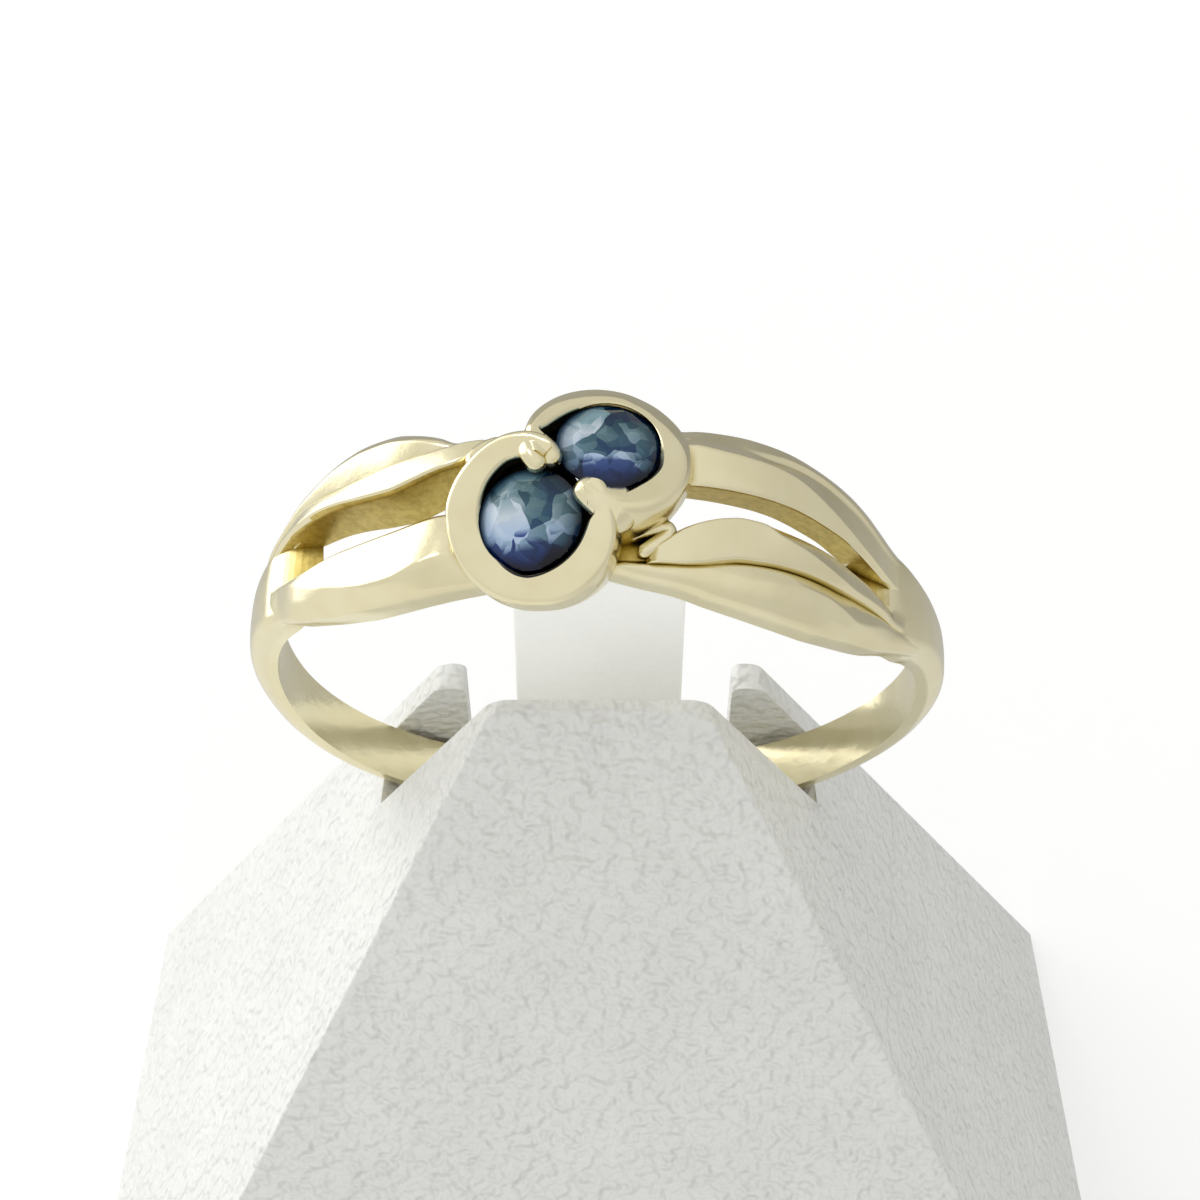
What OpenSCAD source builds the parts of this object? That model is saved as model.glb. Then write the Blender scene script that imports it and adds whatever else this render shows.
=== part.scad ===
// A gold ring with two round blue stones, upright in the slot of a plain white display stand.
// Units are millimetres. The base of the stand lies on z = 0 with its middle at the origin,
// the ring's axis runs along y, and the front of the ring faces -y.

/* [Ring] */
// Radius of the finger hole
hole_r = 8.5; // [8.3:0.1:8.8]
// Turn of the setting about the ring's axis, in degrees
head_turn = -4; // [-8:1:8]
// Height of the ring's centre above the base of the stand
ring_h = 26.5; // [26:0.1:27]
// Distance of the ring's centre to the left of the middle of the stand
ring_left = 0.05; // [0:0.05:0.3]
// Distance from the middle of the base back to the ring's centre plane
ring_y = 8.3; // [8:0.1:8.8]
// Turn of the ring in its slot, seen from above, in degrees
ring_turn = -0.9; // [-2:0.1:2]
// Lean of the ring's head back in its slot, in degrees
ring_lean = 0.6; // [0:0.1:2]

/* [Setting] */
// Half of the distance between the two stones
stone_gap = 1.34; // [1.3:0.01:1.4]
// Distance of the waist between the stones in front of the ring's centre plane
waist_forward = 0.135; // [0:0.005:0.3]
// Distance by which the middle of the setting lies to the right of the ring's middle
waist_right = 0.09; // [0:0.01:0.3]
// Direction from the front stone to the rear stone, seen from above, in degrees
stone_turn = 46.5; // [35:0.5:65]
// Distance from the ring's axis to the girdles of the stones
stone_h = 10.2; // [10:0.05:10.5]
// Outward lean of each stone, in degrees
stone_lean = 14; // [5:1:18]
// Outward lean of each bezel, in degrees
bezel_lean = 20; // [10:1:24]
// Radius of each stone at its girdle
stone_r = 1.25; // [1.19:0.02:1.25]
// Outer radius of each bezel at its widest, below the rim
bezel_r = 2.12; // [2.0:0.02:2.2]
// Outer radius of each bezel's flat rim
rim_r = 1.86; // [1.8:0.02:1.9]

/* [Stand] */
// Half width of the base at the rear
base_half_w = 15.1; // [14:0.1:17]
// Slope of the side faces from the horizontal, in degrees
side_slope = 65; // [63:0.5:67]
// Angle by which the side faces open towards the front, in degrees
side_flare = 6.8; // [0:0.2:10]
// Distance from the ring's centre plane to the front foot of the stand
front_foot = 19.9; // [17:0.1:22]
// Height of the front ridge
ridge_h = 26.9; // [26.5:0.1:27.5]
// Height of the two rear ears
ear_h = 22.6; // [21:0.1:24]
// Half width of the notch between the ears
notch_half_w = 3.75; // [3:0.05:4]
// Width of the tongue at its foot
tongue_w = 4.75; // [4:0.05:5.4]
// Height of the top of the tongue
tongue_top = 29.4; // [27:0.1:30]

/* [Hidden] */

gold = [0.87, 0.82, 0.62];
sapphire_blue = [0.10, 0.18, 0.38];
white_matte = [0.92, 0.92, 0.90];

// Angular step between the sections of a strand and of the shank, in degrees
strand_step = 4.5;
shank_step = 6.5;
// Sections start below the finger hole's surface, which one cut makes smooth
root_r = hole_r - 0.25;

// Sections of the shank. It is wider on the side of the double leaf.
// Angle from the top, y of the two edges, radius of its outer surface
shank_rows = [
    [ 49, -1.20, 0.60, 8.62],
    [ 53, -1.62, 0.96, 8.96],
    [ 58, -1.90, 1.03, 9.18],
    [ 64, -1.80, 0.88, 9.28],
    [ 71, -1.48, 0.72, 9.29],
    [ 80, -1.18, 0.60, 9.27],
    [ 94, -0.97, 0.60, 9.23],
    [110, -0.84, 0.70, 9.20],
    [130, -0.78, 0.77, 9.20],
    [180, -0.77, 0.77, 9.20]
];

// Sections of the inner leaf of the double shoulder, beside the slot.
// Angle from the top, y at the slot, y of the ridge, y of the crease, radii at the same three
inner_leaf_rows = [
    [10, -1.40, -1.60, -1.84, 9.40,  9.56, 9.40],
    [13, -1.06, -1.42, -1.86, 9.66,  9.92, 9.66],
    [17, -0.72, -1.18, -1.84, 9.74, 10.00, 9.76],
    [22, -0.45, -0.92, -1.60, 9.74, 10.00, 9.78],
    [28, -0.38, -0.78, -1.48, 9.70,  9.96, 9.76],
    [34, -0.44, -0.90, -1.46, 9.64,  9.90, 9.68],
    [40, -0.55, -1.20, -1.52, 9.54,  9.80, 9.58],
    [46, -0.70, -1.40, -1.56, 9.42,  9.64, 9.46],
    [52, -0.82, -1.38, -1.54, 9.30,  9.46, 9.30],
    [60, -0.96, -1.32, -1.50, 9.06,  9.18, 9.06]
];

// Sections of the outer leaf of the double shoulder, same columns
outer_leaf_rows = [
    [ 2, -1.20, -1.42, -1.66, 9.20, 9.32, 9.14],
    [10, -1.30, -1.68, -1.96, 9.30, 9.42, 9.20],
    [18, -1.40, -1.84, -2.16, 9.42, 9.58, 9.26],
    [26, -1.40, -1.96, -2.44, 9.50, 9.70, 9.26],
    [34, -1.35, -1.88, -2.58, 9.52, 9.76, 9.24],
    [41, -1.35, -1.92, -2.60, 9.46, 9.70, 9.20],
    [47, -1.35, -2.10, -2.52, 9.36, 9.55, 9.16],
    [53, -1.30, -1.86, -2.30, 9.26, 9.38, 9.12],
    [60, -1.25, -1.58, -1.96, 9.14, 9.22, 9.06],
    [67, -1.15, -1.38, -1.54, 9.04, 9.12, 9.00]
];

// Sections of the single leaf, on the other side of the slot, same columns
single_leaf_rows = [
    [10, 0.34,  1.34, 1.92, 9.66, 9.90, 9.36],
    [17, 0.30,  1.31, 2.02, 9.72, 9.98, 9.44],
    [25, 0.32,  1.24, 2.12, 9.70, 9.92, 9.44],
    [32, 0.32,  1.16, 2.08, 9.62, 9.84, 9.40],
    [38, 0.21,  0.84, 1.94, 9.54, 9.74, 9.36],
    [44, 0.06,  0.38, 1.74, 9.44, 9.62, 9.31],
    [50, -0.22, 0.10, 1.46, 9.34, 9.48, 9.26],
    [56, -0.36, 0.00, 1.10, 9.20, 9.32, 9.15],
    [63, -0.36, 0.00, 0.76, 9.04, 9.14, 9.00]
];

// Smooth curve through the rows of a table, and one row of it at angle a
function find_row(t, a, i = 0) = i >= len(t) - 2 || a < t[i + 1][0] ? i : find_row(t, a, i + 1);
function slope_at(t, i) =
    let (lo = max(i - 1, 0), hi = min(i + 1, len(t) - 1))
    (t[hi] - t[lo]) / (t[hi][0] - t[lo][0]);
function row_at(t, a) =
    let (i = find_row(t, a),
         w = t[i + 1][0] - t[i][0],
         u = max(0, min(1, (a - t[i][0]) / w)),
         u2 = u * u,
         u3 = u2 * u)
    (2 * u3 - 3 * u2 + 1) * t[i] + (u3 - 2 * u2 + u) * w * slope_at(t, i)
    + (3 * u2 - 2 * u3) * t[i + 1] + (u3 - u2) * w * slope_at(t, i + 1);

// Cuts the corners of a closed outline once
function cut_corners(p) = [
    for (i = [0 : len(p) - 1])
        let (q = p[(i + 1) % len(p)])
        each [0.75 * p[i] + 0.25 * q, 0.25 * p[i] + 0.75 * q]
];

// Outline of a leaf in y and radius: two walls up from the finger hole and a ridged top.
// The walls lean in downwards, and more so at the slot.
wall_drop = 0.27;
wall_draft = 0.10;
inner_undercut = 0.14;
single_undercut = 0.38;
edge_round = 0.06;
function leaf_outline(w, undercut) =
    let (s = sign(w[3] - w[1]))
    cut_corners([
        [w[1] + s * undercut, root_r],
        [w[1], w[4] - wall_drop],
        [w[1] + s * edge_round, w[4]],
        [w[2], w[5]],
        [w[3] - s * edge_round, w[6]],
        [w[3], w[6] - wall_drop],
        [w[3] - s * wall_draft, root_r]
    ]);

// Outline of the shank: flat inside, domed outside
dome_in = 0.28;
edge_rise = 0.38;
function shank_outline(w) = cut_corners([
    [w[1], root_r],
    [w[1], hole_r + edge_rise],
    [w[1] + dome_in, w[3]],
    [w[2] - dome_in, w[3]],
    [w[2], hole_r + edge_rise],
    [w[2], root_r]
]);

// The shank's far half is the near half turned by half a turn about the vertical
function shank_row(a) =
    a <= 180 ? row_at(shank_rows, a)
    : let (w = row_at(shank_rows, 360 - a)) [a, -w[2], -w[1], w[3]];

// Places an outline of y and radius at angle a from the top
function placed(outline, a) = [for (p = outline) [p[1] * sin(a), p[0], p[1] * cos(a)]];

// Solid swept through a list of outlines that have the same number of points
module swept(rings) {
    n = len(rings[0]);
    m = len(rings);
    sides = [
        for (i = [0 : m - 2], j = [0 : n - 1])
            let (k = (j + 1) % n)
            each [
                [i * n + j, i * n + k, (i + 1) * n + k],
                [i * n + j, (i + 1) * n + k, (i + 1) * n + j]
            ]
    ];
    near_end = [for (j = [n - 1 : -1 : 0]) j];
    far_end = [for (j = [0 : n - 1]) (m - 1) * n + j];
    polyhedron(points = [for (r = rings) each r], faces = concat(sides, [near_end, far_end]));
}

module leaf(rows, undercut) {
    first = rows[0][0];
    last = rows[len(rows) - 1][0];
    count = ceil((last - first) / strand_step);
    angles = [for (i = [0 : count]) first + (last - first) * i / count];
    flip = rows[0][3] < rows[0][1];
    rings = [for (a = angles) placed(leaf_outline(row_at(rows, a), undercut), a)];
    swept(flip ? [for (r = rings) [for (i = [len(r) - 1 : -1 : 0]) r[i]]] : rings);
}

module shank() {
    start = shank_rows[0][0];
    count = ceil((360 - 2 * start) / shank_step);
    angles = [for (i = [0 : count]) start + (360 - 2 * start) * i / count];
    swept([for (a = angles) placed(shank_outline(shank_row(a)), a)]);
}

// Both shoulders: the second is the first turned by half a turn about the vertical
module shoulders() {
    for (turn = [0, 180])
        rotate([0, 0, turn]) {
            leaf(inner_leaf_rows, inner_undercut);
            leaf(outer_leaf_rows, wall_draft);
            leaf(single_leaf_rows, single_undercut);
        }
}

// Puts its children at the front stone (side = -1) or the rear stone (side = 1)
module at_stone(side, lean = stone_lean) {
    translate([waist_right, -waist_forward, 0])
        rotate([0, 0, stone_turn])
            translate([side * stone_gap, 0, stone_h])
                rotate([0, side * lean, 0])
                    children();
}

// Outside of a bezel: a tapered cup that is widest just below its flat rim
rim_top = 0.32;
rim_edge = 0.05;
wide_z = -0.45;
cup_foot_r = 1.60;
cup_depth = 2.4;
belly_in = 0.04;
belly_h = 0.30;
module bezel_cup() {
    rotate_extrude($fn = 40)
        polygon([
            [0, -cup_depth],
            [cup_foot_r, -cup_depth],
            [bezel_r - belly_in, wide_z - belly_h],
            [bezel_r, wide_z],
            [rim_r + rim_edge / 2, rim_top - rim_edge],
            [rim_r - rim_edge, rim_top],
            [0, rim_top]
        ]);
}

// Room for a stone: flared mouth over the crown, seat round the girdle, open gallery below.
// The mouth has a small pointed corner on either side of the claws.
mouth_r = 1.21;
mouth_flare = 0.22;
mouth_z = 0.16;
mouth_top = 1.2;
seat_gap = 0.05;
seat_low = -0.10;
seat_high = 0.05;
gallery_r = 0.85;
gallery_top = -0.55;
gallery_foot = -cup_depth - 1;
corner_turns = [54, -48];
corner_reach = [1.62, 1.44];
corner_z = 0.11;
corner_root_r = 0.9;
corner_tip_r = 0.06;
module stone_room(side) {
    rotate_extrude($fn = 36)
        polygon([
            [0, gallery_foot],
            [gallery_r, gallery_foot],
            [gallery_r, gallery_top],
            [stone_r + seat_gap, seat_low],
            [stone_r + seat_gap, seat_high],
            [mouth_r, mouth_z],
            [mouth_r + mouth_flare, mouth_top],
            [0, mouth_top]
        ]);
    for (i = [0, 1])
        translate([0, 0, corner_z])
            hull() {
                cylinder(r = corner_root_r, h = 1, $fn = 24);
                rotate([0, 0, corner_turns[i] * -side + (side > 0 ? 180 : 0)])
                    translate([corner_reach[i], 0, 0])
                        cylinder(r = corner_tip_r, h = 1, $fn = 12);
            }
}

// A claw at the waist: a rounded finger that runs in over the edges of the stones.
// Distance across the waist, offset towards the rear stone, height above the girdles, radius
broad_claw = [
    [0.50, 0.00, 0.40, 0.34],
    [0.78, 0.00, 0.42, 0.40],
    [1.10, 0.02, 0.32, 0.42],
    [1.42, 0.05, 0.08, 0.38]
];
front_claw = [
    [0.80, -0.15, 0.44, 0.21],
    [0.98, -0.27, 0.46, 0.25],
    [1.20, -0.38, 0.34, 0.28],
    [1.48, -0.42, 0.06, 0.28]
];
rear_claw = [
    [0.70, 0.25, 0.44, 0.20],
    [0.92, 0.29, 0.44, 0.23],
    [1.18, 0.34, 0.30, 0.25],
    [1.48, 0.38, 0.04, 0.25]
];
module claw(rows, side) {
    for (i = [0 : len(rows) - 2])
        hull()
            for (w = [rows[i], rows[i + 1]])
                translate([w[1], side * w[0], stone_h + w[2]])
                    sphere(r = w[3], $fn = 12);
}

// The three claws, cut back to leave the stones their gap
module claws() {
    difference() {
        translate([waist_right, -waist_forward, 0])
            rotate([0, 0, stone_turn]) {
                claw(broad_claw, -1);
                claw(front_claw, 1);
                claw(rear_claw, 1);
            }
        for (side = [-1, 1])
            at_stone(side) stone_body(seat_gap);
    }
}

// Gap between the two bezels at the waist, seen between the claws
waist_gap_w = 1.2;
waist_gap_l = 0.84;
waist_gap_down = 0.5;
waist_gap_h = 2;
module waist_gap() {
    translate([waist_right, -waist_forward, 0])
        rotate([0, 0, stone_turn])
            translate([-waist_gap_w / 2, -waist_gap_l / 2, stone_h - waist_gap_down])
                cube([waist_gap_w, waist_gap_l, waist_gap_h]);
}

// A round faceted stone, its girdle at z = 0, grown by g all round to cut its gap
table_r = 0.72;
crown_h = 0.38;
star_r = 1.02;
star_h = 0.24;
girdle_t = 0.06;
lower_r = 0.34;
lower_h = 0.70;
culet_r = 0.03;
pavilion_h = 0.90;
// Thickness of the flat slices that the facets are stretched between
thin = 0.01;
half_facet = 22.5;
module stone_body(g = 0) {
    hull() {
        translate([0, 0, crown_h + g - 2 * thin])
            cylinder(r = table_r + g, h = 2 * thin, $fn = 8);
        translate([0, 0, star_h + g])
            rotate([0, 0, half_facet])
                cylinder(r = star_r + g, h = thin, $fn = 8);
        translate([0, 0, -(girdle_t + g) / 2])
            rotate([0, 0, half_facet / 2])
                cylinder(r = stone_r + g, h = girdle_t + g, $fn = 16);
        translate([0, 0, -lower_h - g])
            rotate([0, 0, half_facet])
                cylinder(r = lower_r + g, h = thin, $fn = 8);
        translate([0, 0, -pavilion_h - g])
            cylinder(r = culet_r, h = 2 * thin, $fn = 8);
    }
}

// Everything on the ring is drawn about its own centre and then put on the stand
module on_stand() {
    translate([-ring_left, ring_y, ring_h])
        rotate([-ring_lean, head_turn, ring_turn])
            children();
}

module ring_band() {
    color(gold)
        on_stand()
            difference() {
                union() {
                    difference() {
                        union() {
                            shank();
                            shoulders();
                            for (side = [-1, 1])
                                at_stone(side, bezel_lean) bezel_cup();
                        }
                        for (side = [-1, 1])
                            at_stone(side) stone_room(side);
                        waist_gap();
                    }
                    claws();
                }
                rotate([90, 0, 0])
                    cylinder(r = hole_r, h = 12, center = true, $fn = 96);
            }
}

module front_sapphire() {
    color(sapphire_blue)
        on_stand() at_stone(-1) stone_body();
}

module rear_sapphire() {
    color(sapphire_blue)
        on_stand() at_stone(1) stone_body();
}

// Places of the stand's slot, measured from the ring's centre plane
slot_front = 1.25;
slot_back = 1.0;
slot_r = 9.35;
ridge_back = 1.55;
block_back = 1.8;
notch_floor = 16.5;
tongue_foot = 14.5;
tongue_front = 0.95;
tongue_t = 0.6;
tongue_taper = 0.15;
tongue_round = 0.8;
pocket_h = 6;
foot_gap = 0.05;
overlap = 0.01;

// Keeps what lies inside one sloping side face
module side_cut() {
    long = 60;
    translate([base_half_w, block_back, 0])
        rotate([0, 0, side_flare])
            rotate([0, side_slope - 90, 0])
                translate([0, -long / 2, -long / 4])
                    cube([long / 2, long, long]);
}

module stand_block() {
    wide = 50;
    color(white_matte)
        translate([0, ring_y, 0])
        difference() {
            rotate([90, 0, 90])
                linear_extrude(wide, center = true)
                    polygon([
                        [-front_foot, 0],
                        [-ridge_back, ridge_h],
                        [-slot_front, ridge_h],
                        [-slot_front, ear_h],
                        [block_back, ear_h],
                        [block_back, 0]
                    ]);
            side_cut();
            mirror([1, 0, 0]) side_cut();
            translate([0, slot_back, ring_h])
                rotate([90, 0, 0])
                    cylinder(r = slot_r, h = slot_front + slot_back, $fn = 120);
            translate([-notch_half_w, slot_back - overlap, notch_floor])
                cube([2 * notch_half_w, block_back, ear_h]);
            translate([-tongue_w / 2 - foot_gap, tongue_front - foot_gap, tongue_foot - foot_gap])
                cube([tongue_w + 2 * foot_gap, tongue_t + 2 * foot_gap, pocket_h]);
        }
}

module stand_tongue() {
    top_w = tongue_w - tongue_taper;
    round_z = tongue_top - tongue_round;
    color(white_matte)
        translate([0, ring_y + tongue_front + tongue_t, 0])
            rotate([90, 0, 0])
                linear_extrude(tongue_t)
                    polygon(concat(
                        [[-tongue_w / 2, tongue_foot], [tongue_w / 2, tongue_foot]],
                        [for (a = [0 : 15 : 90])
                            [top_w / 2 - tongue_round * (1 - cos(a)), round_z + tongue_round * sin(a)]],
                        [for (a = [90 : 15 : 180])
                            [-top_w / 2 + tongue_round * (1 + cos(a)), round_z + tongue_round * sin(a)]]
                    ));
}

ring_band();
front_sapphire();
rear_sapphire();
stand_block();
stand_tongue();
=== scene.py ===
# Looks of a gold ring with two sapphires, upright on a plain white display stand.
# Shapes are worked out in millimetres and turned into metres when a piece is finished.
import math

import bmesh
import bpy
from mathutils import Matrix, Vector


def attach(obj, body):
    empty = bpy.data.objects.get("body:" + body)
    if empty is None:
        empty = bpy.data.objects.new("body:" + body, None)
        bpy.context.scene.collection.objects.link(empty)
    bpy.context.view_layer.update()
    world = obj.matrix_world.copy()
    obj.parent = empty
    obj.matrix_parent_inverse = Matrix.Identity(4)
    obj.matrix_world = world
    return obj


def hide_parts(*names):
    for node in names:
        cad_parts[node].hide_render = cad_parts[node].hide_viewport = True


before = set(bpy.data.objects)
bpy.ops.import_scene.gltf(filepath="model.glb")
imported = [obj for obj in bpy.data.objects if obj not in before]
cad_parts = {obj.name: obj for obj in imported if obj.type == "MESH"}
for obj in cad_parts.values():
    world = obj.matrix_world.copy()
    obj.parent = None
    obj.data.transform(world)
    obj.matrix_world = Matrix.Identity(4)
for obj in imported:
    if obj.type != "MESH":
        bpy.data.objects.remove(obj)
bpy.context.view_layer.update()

MM = 0.001

# The ring's finger hole, its place on the stand and its turns about x, y and z, as in part.scad
HOLE_R = 8.5
RING_AT = (-0.05, 8.3, 26.5)
RING_TURNS = (-0.6, -4.0, -0.9)
# The waist between the stones, and how far each stone lies from it, as in part.scad
WAIST_FORWARD, WAIST_RIGHT = 0.135, 0.09
STONE_GAP = 1.34
# Turn of the line through the stones, height of their girdles and the lean of stones and bezels
STONE_TURN = 46.5
STONE_H = 10.2
STONE_LEAN, BEZEL_LEAN = 14.0, 20.0
# Stones and seats are drawn 0.02 larger in radius than in part.scad and a little off the bezels' axes
STONE_R = 1.27
STONE_OFF = (-0.02, 0.05, 0)
# Radius that the shank and the leaves start from, before the finger hole is cut
ROOT_R = HOLE_R - 0.25

# The stand as in part.scad, its y from the ring's centre plane. The ears start at EAR_FOOT.
BASE_HALF_W, SIDE_SLOPE, SIDE_FLARE = 15.1, 65, 6.8
FRONT_FOOT, RIDGE_H, EAR_H = 19.9, 26.9, 22.6
RIDGE_BACK, BLOCK_BACK, SLOT_FRONT, SLOT_BACK, SLOT_R = 1.55, 1.8, 1.25, 1.0, 9.35
NOTCH_HALF_W, NOTCH_FLOOR, EAR_FOOT = 3.75, 16.5, 17.2
TONGUE_W, TONGUE_TOP, TONGUE_FOOT, TONGUE_FRONT, TONGUE_T = 4.75, 29.4, 14.5, 0.95, 0.6
FOOT_GAP = 0.05


# Small helpers
def turned(axis, degrees):
    return Matrix.Rotation(math.radians(degrees), 4, axis)


def moved(x, y, z):
    return Matrix.Translation((x, y, z))


ON_STAND = (moved(*RING_AT) @ turned("Z", RING_TURNS[2]) @ turned("Y", RING_TURNS[1])
            @ turned("X", RING_TURNS[0]))
AT_WAIST = moved(WAIST_RIGHT, -WAIST_FORWARD, 0) @ turned("Z", STONE_TURN)
STONE_SHIFT = moved(*STONE_OFF)


def at_stone(side, lean=STONE_LEAN):
    """Where the front stone (side -1) or the rear stone (side 1) sits, in the ring's own frame."""
    return AT_WAIST @ moved(side * STONE_GAP, 0, STONE_H) @ turned("Y", side * lean)


def monotone(rows, a):
    """The row of a table at angle a, on a smooth curve that doesn't overshoot its rows."""
    n = len(rows)
    i = max(k for k in range(n - 1) if k == 0 or rows[k][0] <= a)
    x0, x1 = rows[i][0], rows[i + 1][0]
    u = min(max((a - x0) / (x1 - x0), 0.0), 1.0)

    def slope(k, c):
        if k == 0 or k == n - 1:
            j = min(k, n - 2)
            return (rows[j + 1][c] - rows[j][c]) / (rows[j + 1][0] - rows[j][0])
        before = (rows[k][c] - rows[k - 1][c]) / (rows[k][0] - rows[k - 1][0])
        after = (rows[k + 1][c] - rows[k][c]) / (rows[k + 1][0] - rows[k][0])
        return 0.0 if before * after <= 0 else 2 * before * after / (before + after)

    out = [a]
    for c in range(1, len(rows[0])):
        p0, p1 = rows[i][c], rows[i + 1][c]
        m0, m1 = slope(i, c) * (x1 - x0), slope(i + 1, c) * (x1 - x0)
        out.append((2 * u**3 - 3 * u**2 + 1) * p0 + (u**3 - 2 * u**2 + u) * m0
                   + (3 * u**2 - 2 * u**3) * p1 + (u**3 - u**2) * m1)
    return out


# A rounding takes at most this part of the sides next to it
MOST_ROUND = 0.45


def rounded(points, radii, steps=4):
    """A closed outline with each corner replaced by a short curve that starts radius before it."""
    out = []
    n = len(points)
    for i in range(n):
        p, q, s = points[i - 1], points[i], points[(i + 1) % n]
        back, ahead = p - q, s - q
        r = min(radii[i], MOST_ROUND * back.length, MOST_ROUND * ahead.length)
        a, b = q + back.normalized() * r, q + ahead.normalized() * r
        for k in range(steps + 1):
            t = k / steps
            out.append((1 - t) ** 2 * a + 2 * t * (1 - t) * q + t**2 * b)
    return out


def new_object(name, data):
    obj = bpy.data.objects.new(name, data)
    bpy.context.scene.collection.objects.link(obj)
    return obj


def solid(name, vertices, faces):
    """A mesh object with its faces turned outwards."""
    mesh = bpy.data.meshes.new(name)
    mesh.from_pydata([tuple(v) for v in vertices], [], faces)
    bm = bmesh.new()
    bm.from_mesh(mesh)
    bmesh.ops.recalc_face_normals(bm, faces=bm.faces)
    bm.to_mesh(mesh)
    bm.free()
    return new_object(name, mesh)


def swept(name, rings, loop=False):
    """A solid through rings of points.

    With loop, the last ring joins the first. Otherwise both ends are closed.
    """
    n, m = len(rings[0]), len(rings)
    faces = []
    for i in range(m if loop else m - 1):
        j = (i + 1) % m
        for k in range(n):
            after = (k + 1) % n
            faces.append((i * n + k, i * n + after, j * n + after, j * n + k))
    if not loop:
        faces.append(tuple(range(n - 1, -1, -1)))
        faces.append(tuple((m - 1) * n + k for k in range(n)))
    return solid(name, [p for ring in rings for p in ring], faces)


def plug(name, profile, matrix, count=120):
    """A solid turned from a profile of (radius, height) that starts and ends near the axis."""
    angles = [2 * math.pi * i / count for i in range(count)]
    rings = [[matrix @ Vector((r * math.cos(a), r * math.sin(a), h)) for a in angles] for r, h in profile]
    return swept(name, rings)


def combine(base, other, operation):
    """Joins other to base, or cuts it out of base. Other is used up."""
    mod = base.modifiers.new("combine", "BOOLEAN")
    mod.operation = operation
    mod.solver = "MANIFOLD"
    mod.object = other
    bpy.context.view_layer.update()
    graph = bpy.context.evaluated_depsgraph_get()
    made = bpy.data.meshes.new_from_object(base.evaluated_get(graph))
    base.modifiers.clear()
    base.data = made
    bpy.data.objects.remove(other)


# Sections from one station of a tube to the next
TUBE_STEPS = 6
# A round end stops short of its pole by this part of a step
POLE_GAP = 0.15


def tube(name, stations, matrix, sides=28, cap=6):
    """A finger with round ends along stations of (x, y, z, half width, half height)."""
    pts = [Vector(s[:3]) for s in stations]
    samples = []
    for i in range(len(pts) - 1):
        is_last = i == len(pts) - 2
        for k in range(TUBE_STEPS + 1 if is_last else TUBE_STEPS):
            t = k / TUBE_STEPS
            p0, p3 = pts[max(i - 1, 0)], pts[min(i + 2, len(pts) - 1)]
            p1, p2 = pts[i], pts[i + 1]
            at = 0.5 * ((2 * p1) + (p2 - p0) * t + (2 * p0 - 5 * p1 + 4 * p2 - p3) * t**2
                        + (3 * p1 - p0 - 3 * p2 + p3) * t**3)
            w = stations[i][3] * (1 - t) + stations[i + 1][3] * t
            h = stations[i][4] * (1 - t) + stations[i + 1][4] * t
            samples.append((at, w, h))

    def ring(at, ahead, w, h):
        side = ahead.cross(Vector((0, 0, 1))).normalized()
        up = side.cross(ahead).normalized()
        return [matrix @ (at + side * w * math.cos(2 * math.pi * k / sides)
                          + up * h * math.sin(2 * math.pi * k / sides)) for k in range(sides)]

    def direction(i):
        return (samples[min(i + 1, len(samples) - 1)][0] - samples[max(i - 1, 0)][0]).normalized()

    def round_end(i, way):
        """The rings of an end, from the one next to sample i outwards."""
        at, w, h = samples[i]
        ahead = direction(i)
        rings = []
        for k in range(1, cap + 1):
            a = math.pi / 2 * (k - POLE_GAP) / cap
            rings.append(ring(at + way * ahead * w * math.sin(a), ahead, w * math.cos(a), h * math.cos(a)))
        return rings

    rings = round_end(0, -1)[::-1]
    rings += [ring(at, direction(i), w, h) for i, (at, w, h) in enumerate(samples)]
    rings += round_end(len(samples) - 1, 1)
    return swept(name, rings)


# The ring's shank and shoulders. Angles are degrees from the top, radii are from the finger hole's
# axis and y runs along it. Tables for the left half are written as for the right one, before a
# half turn about z.
# Sections of the shank: angle, y of the two edges, outer radius
SHANK = [
    (49, -1.20, 0.40, 8.36), (53, -1.45, 0.75, 8.62), (58, -1.88, 1.02, 9.10),
    (64, -1.80, 0.88, 9.27), (71, -1.48, 0.72, 9.29), (80, -1.18, 0.60, 9.27),
    (94, -0.97, 0.60, 9.23), (110, -0.84, 0.70, 9.20), (130, -0.78, 0.77, 9.20),
    (180, -0.77, 0.77, 9.20),
]
# The same for the left half, with the double leaf's side given first, where it is narrower
LEFT_SHANK = [
    (49, -1.10, 0.45, 8.36), (53, -1.35, 0.75, 8.62), (58, -1.50, 1.02, 9.10),
    (64, -1.44, 0.88, 9.27), (71, -1.30, 0.72, 9.29), (80, -1.12, 0.60, 9.27),
    (94, -0.97, 0.60, 9.23), (110, -0.84, 0.70, 9.20), (130, -0.78, 0.77, 9.20),
    (180, -0.77, 0.77, 9.20),
]
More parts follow.
